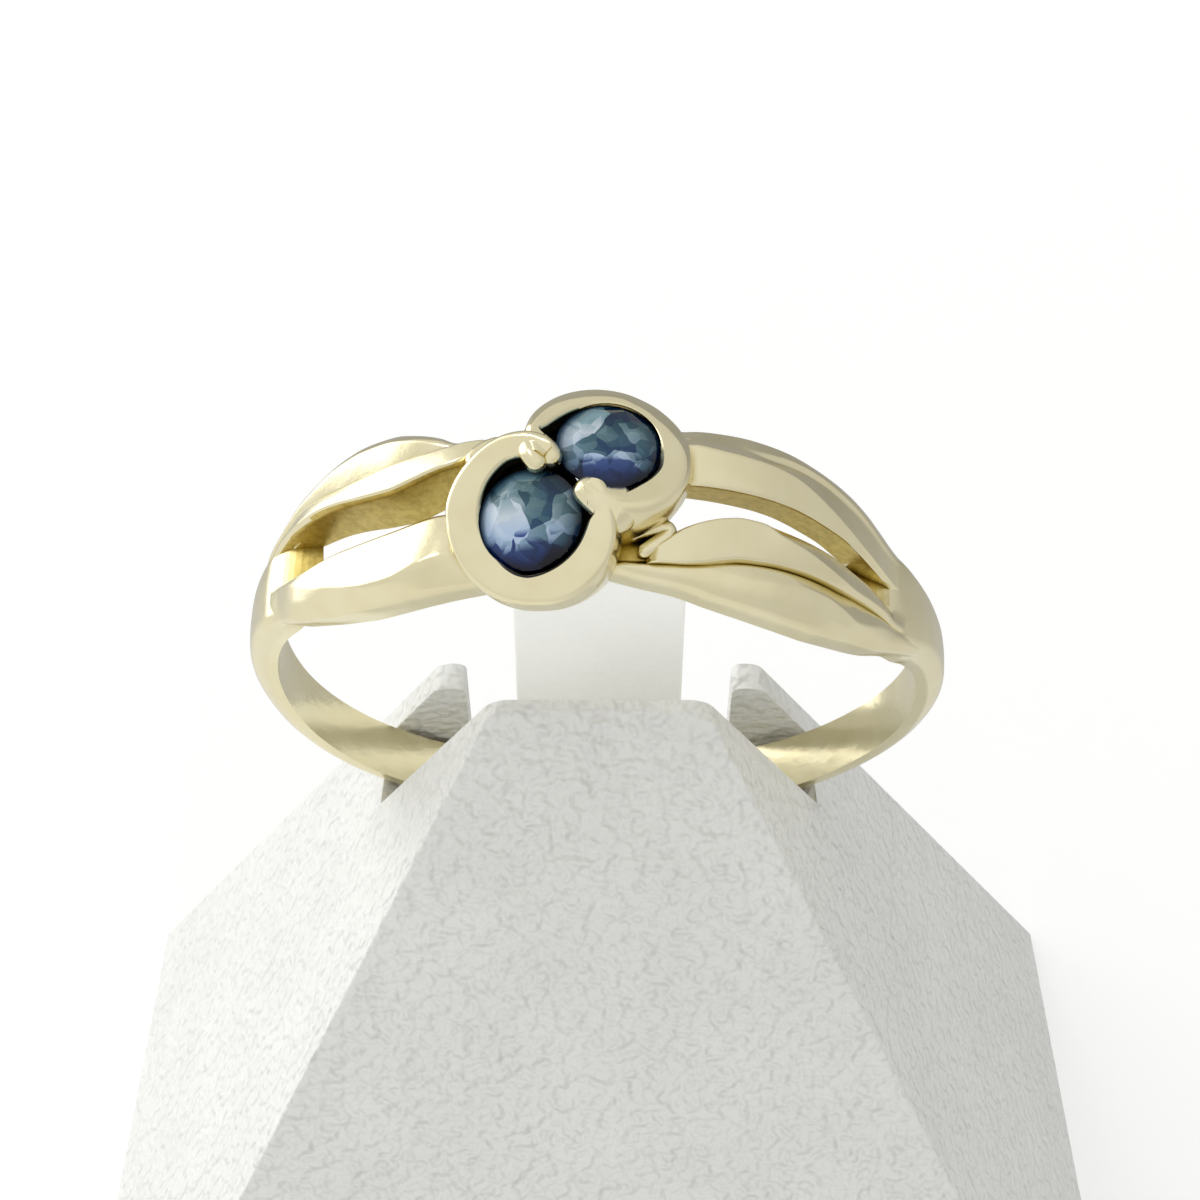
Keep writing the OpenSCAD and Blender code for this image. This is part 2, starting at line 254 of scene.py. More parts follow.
# Inner strand of the double leaf: angle, then y and radius of the edge at the slot,
# the crest, the edge of the top facet and the foot of its outer wall
INNER = [
    (10.8, -1.46, 9.56, -1.56, 9.66, -1.84, 9.62, -1.78, 9.40),
    (13.4, -1.26, 9.70, -1.36, 9.86, -1.84, 9.72, -1.76, 9.40),
    (16, -0.94, 9.76, -1.03, 9.95, -1.85, 9.78, -1.75, 9.40),
    (19, -0.69, 9.79, -0.77, 9.99, -1.76, 9.76, -1.73, 9.42),
    (22, -0.52, 9.80, -0.60, 10.00, -1.60, 9.76, -1.66, 9.44),
    (25, -0.43, 9.79, -0.50, 9.99, -1.47, 9.76, -1.56, 9.44),
    (28, -0.41, 9.77, -0.52, 9.98, -1.42, 9.75, -1.52, 9.42),
    (31, -0.46, 9.74, -0.74, 9.96, -1.38, 9.73, -1.48, 9.42),
    (35.5, -0.50, 9.66, -0.95, 9.91, -1.37, 9.70, -1.46, 9.40),
    (39.5, -0.55, 9.58, -1.17, 9.84, -1.42, 9.65, -1.48, 9.38),
    (43, -0.62, 9.50, -1.31, 9.74, -1.46, 9.60, -1.51, 9.34),
    (46, -0.70, 9.42, -1.38, 9.64, -1.48, 9.53, -1.51, 9.30),
    (50, -0.79, 9.34, -1.36, 9.53, -1.47, 9.44, -1.50, 9.26),
    (54, -0.87, 9.24, -1.32, 9.40, -1.45, 9.32, -1.48, 9.18),
    (59, -0.95, 9.11, -1.29, 9.23, -1.43, 9.19, -1.46, 9.06),
    (66, -0.92, 9.08, -1.16, 9.22, -1.28, 9.20, -1.30, 9.06),
    (74, -0.70, 8.90, -0.90, 9.02, -0.98, 9.01, -1.00, 8.90),
]
# Outer strand: angle, then y and radius of its hidden inner edge, the valley beside the
# inner strand, the crest, the swell below it and the outer edge
OUTER = [
    (1.5, -1.20, 8.80, -1.52, 9.05, -1.56, 9.12, -1.62, 9.14, -1.70, 9.08),
    (7, -1.20, 8.82, -1.72, 9.34, -1.78, 9.38, -1.84, 9.38, -1.92, 9.22),
    (11, -1.20, 8.84, -1.72, 9.38, -1.80, 9.42, -1.92, 9.41, -2.06, 9.24),
    (17, -1.20, 8.90, -1.70, 9.50, -1.82, 9.53, -2.02, 9.47, -2.20, 9.28),
    (22, -1.20, 9.00, -1.62, 9.57, -1.86, 9.60, -2.12, 9.52, -2.38, 9.29),
    (27, -1.20, 9.10, -1.52, 9.61, -1.97, 9.66, -2.20, 9.56, -2.50, 9.30),
    (31, -1.20, 9.10, -1.47, 9.60, -1.91, 9.70, -2.22, 9.60, -2.57, 9.29),
    (35.5, -1.20, 9.10, -1.46, 9.56, -1.86, 9.71, -2.22, 9.61, -2.62, 9.27),
    (39.5, -1.20, 9.10, -1.48, 9.51, -1.88, 9.69, -2.24, 9.60, -2.64, 9.25),
    (43, -1.20, 9.10, -1.50, 9.45, -2.00, 9.64, -2.28, 9.55, -2.60, 9.23),
    (46, -1.20, 9.10, -1.49, 9.41, -2.16, 9.57, -2.36, 9.48, -2.55, 9.21),
    (50, -1.20, 9.05, -1.49, 9.34, -2.00, 9.46, -2.24, 9.38, -2.46, 9.18),
    (54, -1.20, 9.00, -1.48, 9.28, -1.76, 9.35, -2.04, 9.30, -2.32, 9.15),
    (59, -1.20, 8.96, -1.46, 9.19, -1.62, 9.23, -1.82, 9.20, -2.04, 9.09),
    (66, -1.10, 8.96, -1.32, 9.19, -1.42, 9.21, -1.52, 9.19, -1.66, 9.06),
    (74, -0.85, 8.86, -0.98, 9.00, -1.05, 9.01, -1.10, 9.00, -1.18, 8.90),
]
# The same two strands at the rear left, where they are narrower
REAR_INNER = [
    (10.8, -1.40, 9.56, -1.48, 9.66, -1.62, 9.62, -1.58, 9.40),
    (13.4, -1.15, 9.70, -1.24, 9.84, -1.60, 9.72, -1.55, 9.40),
    (16, -0.89, 9.76, -0.98, 9.93, -1.56, 9.78, -1.50, 9.40),
    (19, -0.79, 9.79, -0.86, 9.97, -1.48, 9.80, -1.46, 9.42),
    (23, -0.60, 9.80, -0.68, 9.99, -1.42, 9.80, -1.46, 9.44),
    (27, -0.48, 9.79, -0.56, 9.98, -1.36, 9.80, -1.44, 9.44),
    (32, -0.54, 9.74, -0.62, 9.94, -1.28, 9.77, -1.36, 9.42),
    (37.3, -0.69, 9.64, -0.78, 9.86, -1.25, 9.70, -1.33, 9.38),
    (42.8, -0.84, 9.52, -0.94, 9.72, -1.34, 9.60, -1.41, 9.34),
    (48.5, -0.95, 9.38, -1.04, 9.55, -1.40, 9.47, -1.46, 9.26),
    (55.6, -1.08, 9.20, -1.15, 9.32, -1.38, 9.28, -1.42, 9.10),
    (62, -1.00, 9.10, -1.07, 9.22, -1.24, 9.21, -1.27, 9.06),
    (74, -0.70, 8.90, -0.80, 9.00, -0.90, 9.00, -0.93, 8.90),
]
REAR_OUTER = [
    (1.5, -1.00, 8.80, -1.30, 9.05, -1.36, 9.12, -1.46, 9.14, -1.60, 9.08),
    (10, -1.00, 8.84, -1.45, 9.36, -1.52, 9.42, -1.60, 9.41, -1.72, 9.24),
    (17.7, -1.00, 8.90, -1.48, 9.50, -1.60, 9.56, -1.70, 9.52, -1.84, 9.30),
    (20.6, -1.00, 9.00, -1.46, 9.56, -1.78, 9.64, -1.92, 9.56, -2.08, 9.30),
    (24.6, -1.00, 9.10, -1.43, 9.60, -1.96, 9.70, -2.10, 9.60, -2.31, 9.30),
    (28.8, -1.00, 9.10, -1.36, 9.62, -2.04, 9.73, -2.20, 9.62, -2.46, 9.30),
    (33.2, -1.00, 9.10, -1.30, 9.60, -2.00, 9.73, -2.20, 9.62, -2.48, 9.29),
    (36.9, -1.00, 9.10, -1.30, 9.57, -1.93, 9.71, -2.13, 9.60, -2.40, 9.28),
    (40.8, -1.00, 9.10, -1.38, 9.53, -1.84, 9.66, -2.00, 9.56, -2.25, 9.26),
    (44.3, -1.00, 9.08, -1.43, 9.48, -1.74, 9.58, -1.88, 9.50, -2.08, 9.24),
    (48.3, -1.00, 9.05, -1.46, 9.40, -1.66, 9.48, -1.78, 9.43, -1.95, 9.21),
    (52.8, -1.00, 9.00, -1.42, 9.30, -1.54, 9.37, -1.64, 9.34, -1.77, 9.17),
    (57, -1.00, 8.96, -1.34, 9.23, -1.42, 9.29, -1.50, 9.27, -1.60, 9.12),
    (64, -0.95, 8.94, -1.16, 9.17, -1.24, 9.22, -1.31, 9.20, -1.42, 9.07),
    (74, -0.70, 8.86, -0.82, 8.98, -0.88, 9.00, -0.94, 9.00, -1.02, 8.90),
]
# Single leaf at the rear right: angle, then y and radius of the edge at the slot, the line
# inside it, the ridge, the groove, the crest of the outer strip and the outer edge
SINGLE = [
    (9, 0.31, 9.60, 0.42, 9.68, 1.28, 9.86, 1.52, 9.66, 1.66, 9.58, 1.96, 9.30),
    (17.6, 0.30, 9.65, 0.41, 9.73, 1.30, 9.91, 1.56, 9.68, 1.70, 9.60, 2.03, 9.32),
    (18.2, 0.30, 9.70, 0.41, 9.78, 1.30, 9.97, 1.56, 9.72, 1.70, 9.62, 2.05, 9.34),
    (21, 0.31, 9.72, 0.43, 9.80, 1.27, 9.96, 1.55, 9.70, 1.70, 9.60, 2.10, 9.34),
    (26.5, 0.32, 9.70, 0.44, 9.78, 1.23, 9.91, 1.50, 9.66, 1.68, 9.58, 2.13, 9.34),
    (30, 0.32, 9.66, 0.43, 9.74, 1.20, 9.87, 1.46, 9.60, 1.66, 9.57, 2.11, 9.33),
    (34, 0.29, 9.60, 0.38, 9.68, 1.08, 9.81, 1.50, 9.51, 1.68, 9.54, 2.06, 9.31),
    (37, 0.23, 9.56, 0.31, 9.64, 0.90, 9.76, 1.48, 9.46, 1.64, 9.51, 1.98, 9.29),
    (40.5, 0.14, 9.51, 0.21, 9.58, 0.62, 9.70, 1.38, 9.42, 1.55, 9.47, 1.86, 9.27),
    (44, 0.05, 9.46, 0.11, 9.52, 0.36, 9.62, 1.22, 9.38, 1.40, 9.43, 1.74, 9.24),
    (48, -0.12, 9.38, -0.08, 9.43, 0.06, 9.53, 1.02, 9.33, 1.20, 9.38, 1.56, 9.21),
    (52, -0.26, 9.28, -0.22, 9.33, -0.12, 9.42, 0.78, 9.27, 0.96, 9.31, 1.34, 9.17),
    (56, -0.34, 9.18, -0.30, 9.22, -0.22, 9.29, 0.56, 9.20, 0.72, 9.23, 1.10, 9.12),
    (60, -0.36, 9.08, -0.33, 9.11, -0.26, 9.20, 0.44, 9.18, 0.56, 9.19, 0.90, 9.08),
    (67, -0.28, 9.06, -0.25, 9.09, -0.18, 9.21, 0.34, 9.20, 0.44, 9.19, 0.68, 9.06),
    (75, -0.15, 8.90, -0.12, 8.92, -0.05, 9.01, 0.24, 9.01, 0.32, 9.00, 0.46, 8.90),
]
# Single leaf at the front left, which is broader, same columns, measured the same way round
FRONT_SINGLE = [
    (9, 0.28, 9.52, 0.38, 9.57, 1.40, 9.60, 1.66, 9.52, 1.86, 9.42, 2.06, 9.24),
    (15.4, 0.28, 9.56, 0.38, 9.62, 1.48, 9.66, 1.74, 9.55, 1.94, 9.44, 2.12, 9.27),
    (19.4, 0.29, 9.64, 0.39, 9.72, 1.56, 9.84, 1.80, 9.62, 1.98, 9.46, 2.14, 9.28),
    (23, 0.38, 9.68, 0.48, 9.76, 1.72, 9.90, 1.90, 9.68, 2.02, 9.50, 2.16, 9.29),
    (27, 0.46, 9.66, 0.55, 9.74, 1.84, 9.84, 1.97, 9.68, 2.07, 9.50, 2.17, 9.28),
    (31, 0.48, 9.62, 0.56, 9.70, 1.80, 9.80, 1.94, 9.66, 2.06, 9.50, 2.16, 9.28),
    (34.5, 0.47, 9.58, 0.55, 9.65, 1.66, 9.76, 1.82, 9.64, 1.98, 9.49, 2.12, 9.27),
    (38, 0.44, 9.54, 0.51, 9.60, 1.44, 9.70, 1.62, 9.60, 1.80, 9.47, 2.02, 9.25),
    (42, 0.42, 9.48, 0.48, 9.54, 1.16, 9.63, 1.38, 9.55, 1.60, 9.44, 1.88, 9.23),
    (46, 0.39, 9.42, 0.44, 9.47, 0.86, 9.55, 1.12, 9.48, 1.36, 9.40, 1.70, 9.20),
    (50, 0.32, 9.36, 0.36, 9.40, 0.56, 9.47, 0.85, 9.42, 1.10, 9.36, 1.50, 9.17),
    (54, 0.18, 9.27, 0.21, 9.31, 0.30, 9.37, 0.60, 9.34, 0.86, 9.29, 1.28, 9.14),
    (58, 0.0, 9.17, 0.02, 9.19, 0.06, 9.25, 0.36, 9.24, 0.60, 9.21, 1.02, 9.10),
    (65, -0.18, 9.10, -0.15, 9.13, -0.06, 9.22, 0.22, 9.22, 0.40, 9.19, 0.74, 9.06),
    (74, -0.15, 8.90, -0.12, 8.92, -0.05, 9.01, 0.20, 9.01, 0.30, 9.00, 0.48, 8.90),
]
# How far from each corner of a section its rounding starts, from the foot at the slot outwards
INNER_ROUND = [0.05, 0.05, 0.07, 0.07, 0.10, 0.05]
OUTER_ROUND = [0.05, 0.10, 0.08, 0.08, 0.22, 0.22, 0.20, 0.05]
SINGLE_ROUND = [0.05, 0.05, 0.06, 0.08, 0.09, 0.14, 0.28, 0.20, 0.05]
FRONT_ROUND = [0.05, 0.05, 0.06, 0.16, 0.14, 0.14, 0.24, 0.20, 0.05]
SHANK_ROUND = [0.02, 0.26, 0.26, 0.4, 0.26, 0.26, 0.02]
# A leaf's outer wall: height of its steep part and how far its foot lies inwards
WALL_DROP, WALL_DRAFT = 0.30, 0.10
# Height of the shank's sides above the hole, rise of its crown and width of its shoulders
SHANK_SIDE, SHANK_CROWN, SHANK_SHOULDER = 0.34, 0.02, 0.26
# Degrees between sections
LEAF_STEP, SHANK_STEP = 0.75, 1.0
# Sections of a leaf's nose and the least part of its height that the first one keeps
NOSE_STEPS, NOSE_LEAST = 10, 0.01


def place(outline, angle):
    """An outline of y and radius at that angle from the top."""
    s, c = math.sin(math.radians(angle)), math.cos(math.radians(angle))
    return [Vector((p[1] * s, p[0], p[1] * c)) for p in outline]


def leaf_outline(row, undercut, radii, wall):
    """From the foot at the slot over the top to the other foot, with a steep outer wall if wall is 1."""
    pairs = [(row[i], row[i + 1]) for i in range(1, len(row), 2)]
    out = 1 if pairs[-1][0] > pairs[0][0] else -1
    first, last = pairs[0], pairs[-1]
    points = [(first[0] + out * undercut, ROOT_R)] + pairs
    if wall:
        points.append((last[0], last[1] - WALL_DROP))
    points.append((last[0] - out * WALL_DRAFT * wall, ROOT_R))
    return rounded([Vector(p) for p in points], radii)


def leaf(name, rows, undercut, radii, wall=1, nose=0.0, nose_y=0.0):
    """A strand swept through its sections. With nose, its first degrees round off towards nose_y."""
    first, last = rows[0][0], rows[-1][0]
    count = math.ceil((last - first) / LEAF_STEP)
    angles = [first + (last - first) * i / count for i in range(count + 1)]
    if nose:
        ahead = [first + nose * (1 - math.cos(math.radians(90 * k / NOSE_STEPS)))
                 for k in range(NOSE_STEPS)]
        angles = ahead + [a for a in angles if a >= first + nose]
    rings = []
    for a in angles:
        outline = leaf_outline(monotone(rows, a), undercut, radii, wall)
        if a < first + nose:
            k = math.sqrt(max(1 - ((first + nose - a) / nose) ** 2, NOSE_LEAST))
            outline = [Vector((nose_y + (p[0] - nose_y) * k, ROOT_R + (p[1] - ROOT_R) * k**0.5))
                       for p in outline]
        rings.append(place(outline, a))
    return swept(name, rings)


def shank():
    """The band from one fork round the bottom to the other, its ends inside the leaves."""
    rings = []
    start = SHANK[0][0]
    count = math.ceil((360 - 2 * start) / SHANK_STEP)
    for i in range(count + 1):
        a = start + (360 - 2 * start) * i / count
        row = monotone(SHANK if a <= 180 else LEFT_SHANK, min(a, 360 - a))
        y0, y1, top = row[1:] if a <= 180 else (-row[2], -row[1], row[3])
        side_top = min(HOLE_R + SHANK_SIDE, top - SHANK_CROWN)
        points = [(y0, ROOT_R), (y0, side_top), (y0 + SHANK_SHOULDER, top - SHANK_CROWN),
                  ((y0 + y1) / 2, top + SHANK_CROWN), (y1 - SHANK_SHOULDER, top - SHANK_CROWN),
                  (y1, side_top), (y1, ROOT_R)]
        rings.append(place(rounded([Vector(p) for p in points], SHANK_ROUND, steps=5), a))
    return swept("shank", rings)


# The ring's setting. Heights are from the girdle of the stone in the bezel's own leaning frame.
RIM_TOP, RIM_CROWN = 0.296, 0.002
# Height of the widest place, radius and height of the foot, and radius of the core that is cut away
WIDE_Z = -0.42
FOOT_R, FOOT_Z = 1.60, -2.4
CORE_R = 0.60
# Bezels, each in its own rim plane: turn from the direction of the rear stone, radius of the
# mouth, edge of the flat rim, radius and height of the shoulder, widest radius, softness
# of the rim's edge
FRONT_CUP = [
    (-180, 1.12, 1.86, 1.97, 0.20, 2.05, 0.05), (-164, 1.20, 1.88, 1.99, 0.20, 2.06, 0.05),
    (-147, 1.30, 1.91, 2.02, 0.20, 2.08, 0.05), (-135, 1.34, 1.95, 2.06, 0.20, 2.10, 0.05),
    (-119, 1.34, 2.07, 2.17, 0.20, 2.18, 0.06), (-101, 1.36, 2.15, 2.24, 0.20, 2.22, 0.08),
    (-79, 1.41, 2.18, 2.27, 0.20, 2.22, 0.10), (-63, 1.45, 2.11, 2.22, 0.18, 2.18, 0.15),
    (-53, 1.50, 2.06, 2.16, 0.16, 2.14, 0.20), (-46, 1.62, 2.02, 2.12, 0.15, 2.12, 0.20),
    (-39, 1.42, 2.00, 2.10, 0.15, 2.10, 0.20), (-20, 1.42, 1.95, 2.05, 0.15, 2.10, 0.10),
    (20, 1.46, 1.95, 2.05, 0.15, 2.10, 0.10), (45, 1.54, 2.12, 2.22, 0.18, 2.16, 0.08),
    (60, 1.56, 2.15, 2.24, 0.20, 2.18, 0.06), (73, 1.50, 2.13, 2.22, 0.20, 2.17, 0.05),
    (89, 1.41, 2.09, 2.19, 0.20, 2.15, 0.05), (101, 1.33, 2.08, 2.18, 0.20, 2.15, 0.05),
    (117, 1.24, 2.06, 2.16, 0.20, 2.14, 0.05), (131, 1.19, 1.96, 2.07, 0.20, 2.10, 0.05),
    (148, 1.13, 1.89, 2.00, 0.20, 2.07, 0.05),
]
REAR_CUP = [
    (-180, 1.42, 1.95, 2.05, 0.15, 2.12, 0.10), (-160, 1.36, 1.95, 2.05, 0.15, 2.12, 0.15),
    (-147, 1.34, 1.97, 2.08, 0.15, 2.12, 0.25), (-138, 1.51, 2.00, 2.12, 0.14, 2.14, 0.30),
    (-130, 1.66, 2.05, 2.16, 0.12, 2.15, 0.30), (-121, 1.56, 2.08, 2.20, 0.10, 2.18, 0.30),
    (-109, 1.44, 2.10, 2.24, 0.08, 2.20, 0.30), (-94, 1.37, 2.08, 2.22, 0.08, 2.20, 0.30),
    (-76, 1.31, 1.98, 2.12, 0.10, 2.16, 0.22), (-56, 1.20, 1.84, 2.02, 0.12, 2.10, 0.12),
    (-42, 1.16, 1.70, 1.98, 0.10, 2.08, 0.08), (-23, 1.15, 1.51, 1.95, 0.06, 2.08, 0.06),
    (-2, 1.16, 1.41, 1.93, 0.04, 2.07, 0.06), (17, 1.19, 1.41, 1.93, 0.04, 2.07, 0.06),
    (34, 1.22, 1.46, 1.94, 0.05, 2.07, 0.06), (54, 1.22, 1.46, 1.95, 0.05, 2.07, 0.06),
    (72, 1.25, 1.50, 1.96, 0.06, 2.08, 0.06), (89, 1.30, 1.61, 1.98, 0.08, 2.10, 0.06),
    (99, 1.35, 1.70, 2.00, 0.10, 2.10, 0.06), (111, 1.44, 1.79, 2.04, 0.12, 2.12, 0.06),
    (121, 1.56, 1.88, 2.06, 0.14, 2.12, 0.06), (129, 1.70, 1.95, 2.07, 0.15, 2.12, 0.08),
    (137, 1.54, 1.96, 2.07, 0.15, 2.12, 0.08), (155, 1.42, 1.95, 2.05, 0.15, 2.12, 0.10),
]
CUPS = {-1: FRONT_CUP, 1: REAR_CUP}
CUP_STEPS = 180
# The steep wall of a bezel's mouth and its bevel: height and how much wider than the mouth
MOUTH_RINGS = [(-0.28, -0.05), (0.20, 0.0), (0.24, 0.03), (0.37, 0.15), (1.4, 0.30)]
# The open gallery below a stone and the seat round its girdle: radius and height
ROOM = [(0.001, -3.4), (0.85, -3.4), (0.85, -0.60), (1.32, -0.12), (1.32, 0.07), (1.10, 0.30),
        (0.84, 0.44), (0.001, 0.44)]


def around(rows, a):
    """The row at turn a of a table that closes on itself."""
    before = [(r[0] - 360,) + r[1:] for r in rows[-2:]]
    after = [(r[0] + 360,) + r[1:] for r in rows[:2]]
    return monotone(before + list(rows) + after, a)


def turns():
    """Where a bezel has its sections, all the way round."""
    return [-180 + 360 * i / CUP_STEPS for i in range(CUP_STEPS)]


def cup(side):
    """The outside of a bezel: flat rim, rounded shoulder, swelling wall and tapered foot."""
    m = at_stone(side, BEZEL_LEAN)
    rings = []
    for a in turns():
        mouth, flat, shoulder, shoulder_z, wide, soft = around(CUPS[side], a)[1:]
        points = [(CORE_R, FOOT_Z), (FOOT_R, FOOT_Z), (wide, WIDE_Z), (shoulder, shoulder_z),
                  (flat, RIM_TOP), ((mouth + flat) / 2, RIM_TOP + RIM_CROWN), (CORE_R, RIM_TOP)]
        profile = rounded([Vector(p) for p in points], [0.05, 0.2, 0.3, 0.12, soft, 0.2, 0.02])
        s, c = math.sin(math.radians(a)), math.cos(math.radians(a))
        rings.append([m @ Vector((p[0] * c, p[0] * s, p[1])) for p in profile])
    return swept("cup", rings, loop=True)


def mouth_cut(side):
    """What opens a bezel above the seat."""
    m = at_stone(side, BEZEL_LEAN)
    rings = []
    for z, more in MOUTH_RINGS:
        ring = []
        for a in turns():
            r = around(CUPS[side], a)[1] + more
            ring.append(m @ Vector((r * math.cos(math.radians(a)), r * math.sin(math.radians(a)), z)))
        rings.append(ring)
    return swept("mouth", rings)


def room(side):
    """What opens the gallery and the seat of a stone."""
    return plug("room", ROOM, STONE_SHIFT @ at_stone(side))


# Claws at the waist: x towards the rear stone, y across, height above the girdles, half width,
# half height
BROAD_CLAW = [(-0.02, -0.66, 0.54, 0.36, 0.30), (-0.03, -0.90, 0.54, 0.37, 0.31),
              (0.02, -1.10, 0.48, 0.43, 0.36), (0.14, -1.34, 0.30, 0.62, 0.46)]
FRONT_CLAW = [(-0.30, 0.80, 0.56, 0.27, 0.26), (-0.23, 1.00, 0.55, 0.30, 0.28),
              (-0.16, 1.14, 0.50, 0.32, 0.30)]
REAR_CLAW = [(0.06, 0.66, 0.50, 0.27, 0.27), (0.13, 0.88, 0.50, 0.27, 0.28),
             (0.15, 1.08, 0.46, 0.28, 0.30)]
# Hook that curls from a bezel's foot to the nose of the double leaf: angle, y, radius, half thickness
HOOK = [(9.2, -1.08, 9.56, 0.19), (11.0, -1.02, 9.64, 0.19), (12.5, -0.96, 9.69, 0.20),
        (13.7, -0.93, 9.71, 0.20), (14.3, -1.04, 9.70, 0.20), (13.5, -1.21, 9.67, 0.20),
        (12.3, -1.37, 9.62, 0.20), (11.0, -1.50, 9.54, 0.18)]
# Cast floor of the hollow between the hook and the front bezel: angle, then y and radius
WEB = [(3, -0.90, 9.24, -1.30, 9.30, -1.72, 9.24), (13, -0.90, 9.36, -1.30, 9.40, -1.66, 9.36)]
WEB_ROUND = [0.05, 0.05, 0.2, 0.05, 0.05, 0.05]


def hook():
    """The small curled hook beside a double leaf."""
    rows = []
    for angle, y, r, thick in HOOK:
        a = math.radians(angle)
        rows.append((r * math.sin(a), y, r * math.cos(a), thick, thick))
    return tube("hook", rows, Matrix.Identity(4), sides=16, cap=4)


# A round brilliant: the table, the points of the crown, the points of the pavilion and its tip,
# each by radius and height above or below the girdle, and half the girdle's thickness
TABLE_R, TABLE_H = 0.72, 0.38
CROWN_R, CROWN_H = 1.02, 0.24
PAVILION_R, PAVILION_H = 0.34, 0.70
TIP_H, GIRDLE_HALF_T = 0.90, 0.03
FACETS, GIRDLE_SIDES = 8, 32


def stone_hull(grow=0.0):
    """Corner points of a stone, its girdle at height 0, grown to cut its gap."""
    points = []
    for i in range(FACETS):
        a, b = math.radians(360 / FACETS * i), math.radians(360 / FACETS * (i + 0.5))
        for angle, r, h in ((a, TABLE_R + grow, TABLE_H + grow), (b, CROWN_R + grow, CROWN_H + grow),
                            (b, PAVILION_R + grow, -PAVILION_H - grow)):
            points.append((r * math.cos(angle), r * math.sin(angle), h))
    for i in range(GIRDLE_SIDES):
        a = math.radians(360 / GIRDLE_SIDES * i)
        for h in (GIRDLE_HALF_T + grow / 2, -GIRDLE_HALF_T - grow / 2):
            points.append(((STONE_R + grow) * math.cos(a), (STONE_R + grow) * math.sin(a), h))
    points.append((0, 0, -TIP_H - grow))
    return points


# Points nearer than MERGE are one, and faces that meet at less than FLAT degrees are one face.
# Edges from EDGE degrees on count as sharp when they are rounded.
MERGE, FLAT, EDGE = 1e-4, 1.0, 8


def hull(name, points, matrix):
    """The convex solid round some points, its flat faces whole."""
    bm = bmesh.new()
    for p in points:
        bm.verts.new(matrix @ Vector(p))
    bmesh.ops.convex_hull(bm, input=bm.verts)
    loose = [v for v in bm.verts if not v.link_faces]
    bmesh.ops.delete(bm, geom=loose, context="VERTS")
    bmesh.ops.dissolve_limit(bm, angle_limit=math.radians(FLAT), verts=bm.verts, edges=bm.edges)
    mesh = bpy.data.meshes.new(name)
    bm.to_mesh(mesh)
    bm.free()
    return new_object(name, mesh)


def finished(obj, matrix, smooth=None):
    """Brings a piece from millimetres to metres in the frame. Edges above the angle smooth stay sharp."""
    bm = bmesh.new()
    bm.from_mesh(obj.data)
    bmesh.ops.remove_doubles(bm, verts=bm.verts, dist=MERGE)
    bmesh.ops.dissolve_degenerate(bm, edges=bm.edges, dist=MERGE)
    bmesh.ops.triangulate(bm, faces=bm.faces)
    # Two triangles on the same three corners enclose nothing
    same_corners = {}
    for face in bm.faces:
        same_corners.setdefault(frozenset(face.verts), []).append(face)
    folded = [face for faces in same_corners.values() if len(faces) > 1 for face in faces]
    bmesh.ops.delete(bm, geom=folded, context="FACES")
    bm.to_mesh(obj.data)
    bm.free()
    obj.data.transform(Matrix.Scale(MM, 4) @ matrix)
    if smooth:
        obj.data.shade_smooth()
        obj.data.set_sharp_from_angle(angle=math.radians(smooth))
    return obj


# Where the metal is left dull as cast and darkened with painted shade, by angle, y and radius in the ring's
# own frame. The walls of the slots also face the ring's middle plane and don't face up.
WALL_ANGLES, WALL_MAX_Y, WALL_FACING, WALL_MAX_UP = (12, 60), 1.3, 0.38, 0.45
HOLLOW_ANGLES, HOLLOW_Y, HOLLOW_R = (4, 12.6), (0.88, 1.75), (9.15, 9.42)
RIGHT_SLOT_Y, LEFT_SLOT_Y = (-0.85, 0.05), (-0.40, 1.0)
END_ANGLES, END_MAX_R, END_UP = (44, 58), 9.20, (0, 0.9995)
# A slot's end has this darker mark, for more painted shade, which fades out over some degrees before an
# angle
END_SHADE_MARK, END_FADE, END_LAST = 1.3, 5, 59
# The grooves round the stones, painted black as shade, in a bezel's own frame, reach a little past the mouth
GROOVE_Z, GROOVE_MORE = (-3.2, 0.21), 0.03


def within(value, limits):
    return limits[0] < value < limits[1]


def cast_and_shade_mark(centre, normal):
    """Dull cast metal with painted shade: 1 for a slot's wall and the hollow by the hook, up to
    END_SHADE_MARK, darker, at a slot's end, 0 elsewhere.
    """
    x, y, r = centre.x, centre.y, math.hypot(centre.x, centre.z)
    angle = math.degrees(math.atan2(abs(x), centre.z))
    up = (normal.x * x + normal.z * centre.z) / r
    wall = (abs(y) < WALL_MAX_Y and normal.y * y < 0 and abs(normal.y) > WALL_FACING
            and up < WALL_MAX_UP and within(angle, WALL_ANGLES))
    hollow = (x * y < 0 and within(abs(y), HOLLOW_Y) and within(r, HOLLOW_R)
              and within(angle, HOLLOW_ANGLES))
    if wall or hollow:
        return 1.0
    if (within(y, RIGHT_SLOT_Y if x > 0 else LEFT_SLOT_Y) and r < END_MAX_R
            and within(angle, END_ANGLES) and within(up, END_UP)):
        return END_SHADE_MARK * min(1.0, (END_LAST - angle) / END_FADE)
    return 0.0


def mark_dull_and_shade(band):
    """Writes each face's mark: 0 polished, about 1 dull as cast with painted shade, and 2 for painted black
    shade in the grooves round the stones.
    """
    frames = [(side, at_stone(side, BEZEL_LEAN).inverted()) for side in (-1, 1)]
    marks = []
    for face in band.data.polygons:
        mark = cast_and_shade_mark(face.center, face.normal)
        for side, inward in frames:
            q = inward @ face.center
            mouth = around(CUPS[side], math.degrees(math.atan2(q.y, q.x)))[1]
            if within(q.z, GROOVE_Z) and math.hypot(q.x, q.y) < mouth + GROOVE_MORE:
                mark = 2.0
        marks.append(mark)
    layer = band.data.attributes.new("dull_and_shade", "FLOAT", "FACE")
    layer.data.foreach_set("value", marks)


